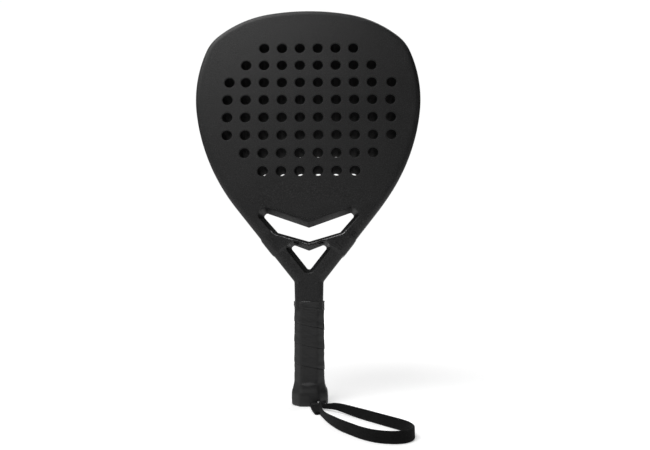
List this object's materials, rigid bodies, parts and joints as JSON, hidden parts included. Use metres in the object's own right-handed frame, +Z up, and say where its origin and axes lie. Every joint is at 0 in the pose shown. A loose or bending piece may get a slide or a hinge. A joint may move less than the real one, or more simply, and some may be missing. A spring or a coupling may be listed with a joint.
{
  "type": "padel racket",
  "caption": "Padel racket with a perforated foam-cored head, an open throat with two chevron windows, a wrapped octagonal grip and a webbing wrist strap.",
  "frame": {"origin": "centre of the racket's footprint at the bottom of the butt, strap not counted", "axes": "+Z up the handle towards the crown, hitting faces look along -Y (front) and +Y (rear), +X to the right seen from the front"},
  "size_m": [0.26, 0.1572, 0.45],
  "materials": {
    "face_laminate": "matt lacquered carbon laminate with a fine grain",
    "frame_laminate": "satin lacquered carbon laminate",
    "bridge_laminate": "satin lacquered carbon laminate",
    "eva_core": "black closed-cell EVA foam",
    "filler_foam": "rigid polyurethane foam",
    "pallet": "moulded polyurethane",
    "butt_cap": "moulded plastic",
    "cushion_grip": "perforated cushion grip",
    "overgrip": "matt tacky wrap",
    "finishing_tape": "matt stretch tape",
    "staple_steel": "drawn wire",
    "webbing": "woven polyester webbing",
    "thread": "bonded polyester thread"
  },
  "bodies": {
    "root": {"core_foam": "eva_core", "front_face_sheet": "face_laminate", "rear_face_sheet": "face_laminate", "frame_tube": "frame_laminate", "frame_foam": "filler_foam", "arm_foam": "filler_foam", "head_bridge": "frame_laminate", "head_bridge_foam": "filler_foam", "throat_bridge": "bridge_laminate", "throat_bridge_foam": "filler_foam", "handle_foam": "filler_foam", "front_pallet": "pallet", "rear_pallet": "pallet", "butt_cap": "butt_cap", "base_grip": "cushion_grip", "overgrip": "overgrip", "finishing_tape": "finishing_tape", "grip_staples": "staple_steel", "wrist_strap": "webbing", "strap_tail": "webbing", "strap_knot": "webbing", "strap_stitching": "thread"}
  },
  "joints": []
}
